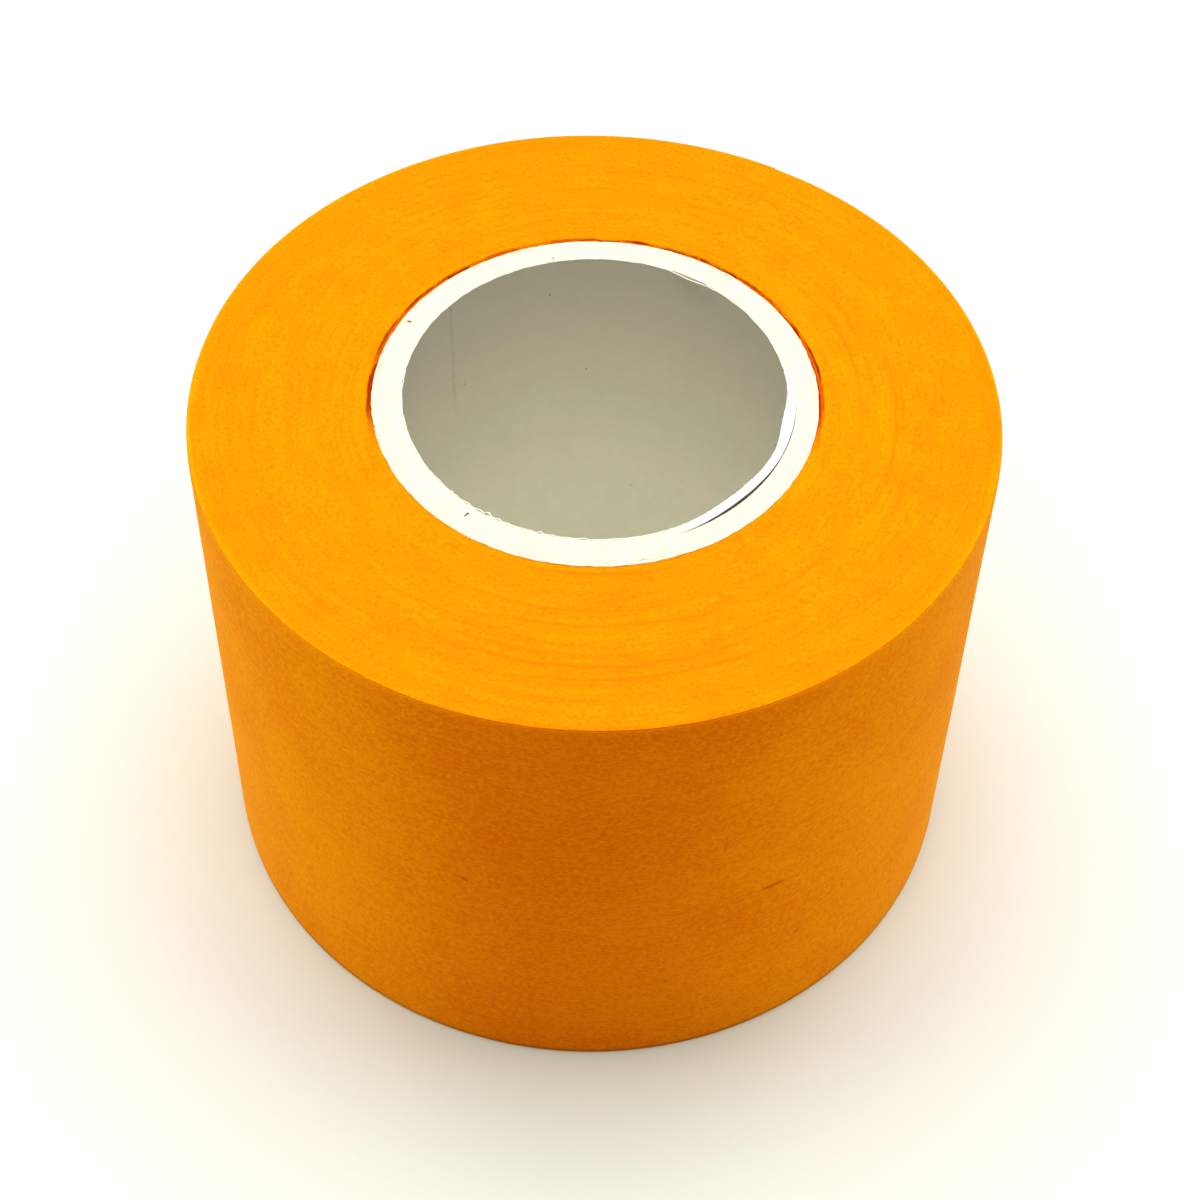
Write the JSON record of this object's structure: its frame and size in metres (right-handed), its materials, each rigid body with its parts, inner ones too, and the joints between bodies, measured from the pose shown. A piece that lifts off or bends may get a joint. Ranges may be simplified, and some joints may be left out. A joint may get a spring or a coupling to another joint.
{
  "type": "masking tape roll",
  "caption": "Full roll of orange paper masking tape on a white spiral-wound paper core, with a free end that peels and bends.",
  "frame": {"origin": "on the axis of the roll, at the cut face it stands on", "axes": "+Z along the axis of the roll, up out of the face it stands on; -Y is the side away from the free end of the tape"},
  "size_m": [0.069, 0.0691, 0.0512],
  "materials": {
    "grey_liner": "matte",
    "white_board": "matte",
    "white_paper": "matte",
    "washi_tape": "matte"
  },
  "bodies": {
    "roll": {"core_inner_liner": "grey_liner", "core_board_1": "white_board", "core_board_2": "white_board", "core_board_3": "white_board", "core_board_4": "white_board", "core_thin_ply_1": "white_board", "core_thin_ply_2": "white_board", "core_cover": "white_paper", "tape_first_turn": "washi_tape", "tape_pack": "washi_tape", "tape_outer_turn": "washi_tape"},
    "end_1": {"tape_end_1": "washi_tape"},
    "end_2": {"tape_end_2": "washi_tape"},
    "end_3": {"tape_end_3": "washi_tape"},
    "end_4": {"tape_end_4": "washi_tape"},
    "end_5": {"tape_end_5": "washi_tape"},
    "end_6": {"tape_end_6": "washi_tape"},
    "end_7": {"tape_end_7": "washi_tape"},
    "end_8": {"tape_end_8": "washi_tape"}
  },
  "joints": [
    {"name": "end_peel", "type": "hinge", "parent": "roll", "child": "end_1", "pos_m": [-0.02144, 0.02718, 0], "axis": [0, 0, 1], "range_deg": [0, 70]},
    {"name": "end_bend_2", "type": "hinge", "parent": "end_1", "child": "end_2", "pos_m": [-0.01731, 0.02998, 0], "axis": [0, 0, 1], "range_deg": [0, 18]},
    {"name": "end_bend_3", "type": "hinge", "parent": "end_2", "child": "end_3", "pos_m": [-0.01281, 0.03217, 0], "axis": [0, 0, 1], "range_deg": [0, 18]},
    {"name": "end_bend_4", "type": "hinge", "parent": "end_3", "child": "end_4", "pos_m": [-0.00804, 0.03368, 0], "axis": [0, 0, 1], "range_deg": [0, 18]},
    {"name": "end_bend_5", "type": "hinge", "parent": "end_4", "child": "end_5", "pos_m": [-0.0031, 0.03449, 0], "axis": [0, 0, 1], "range_deg": [0, 18]},
    {"name": "end_bend_6", "type": "hinge", "parent": "end_5", "child": "end_6", "pos_m": [0.0019, 0.03458, 0], "axis": [0, 0, 1], "range_deg": [0, 18]},
    {"name": "end_bend_7", "type": "hinge", "parent": "end_6", "child": "end_7", "pos_m": [0.00686, 0.03394, 0], "axis": [0, 0, 1], "range_deg": [0, 18]},
    {"name": "end_bend_8", "type": "hinge", "parent": "end_7", "child": "end_8", "pos_m": [0.01168, 0.0326, 0], "axis": [0, 0, 1], "range_deg": [0, 18]}
  ],
  "couplings": [
    {"joint": "end_bend_3", "follows": "end_bend_2", "ratio": 1},
    {"joint": "end_bend_4", "follows": "end_bend_2", "ratio": 1},
    {"joint": "end_bend_5", "follows": "end_bend_2", "ratio": 1},
    {"joint": "end_bend_6", "follows": "end_bend_2", "ratio": 1},
    {"joint": "end_bend_7", "follows": "end_bend_2", "ratio": 1},
    {"joint": "end_bend_8", "follows": "end_bend_2", "ratio": 1}
  ]
}
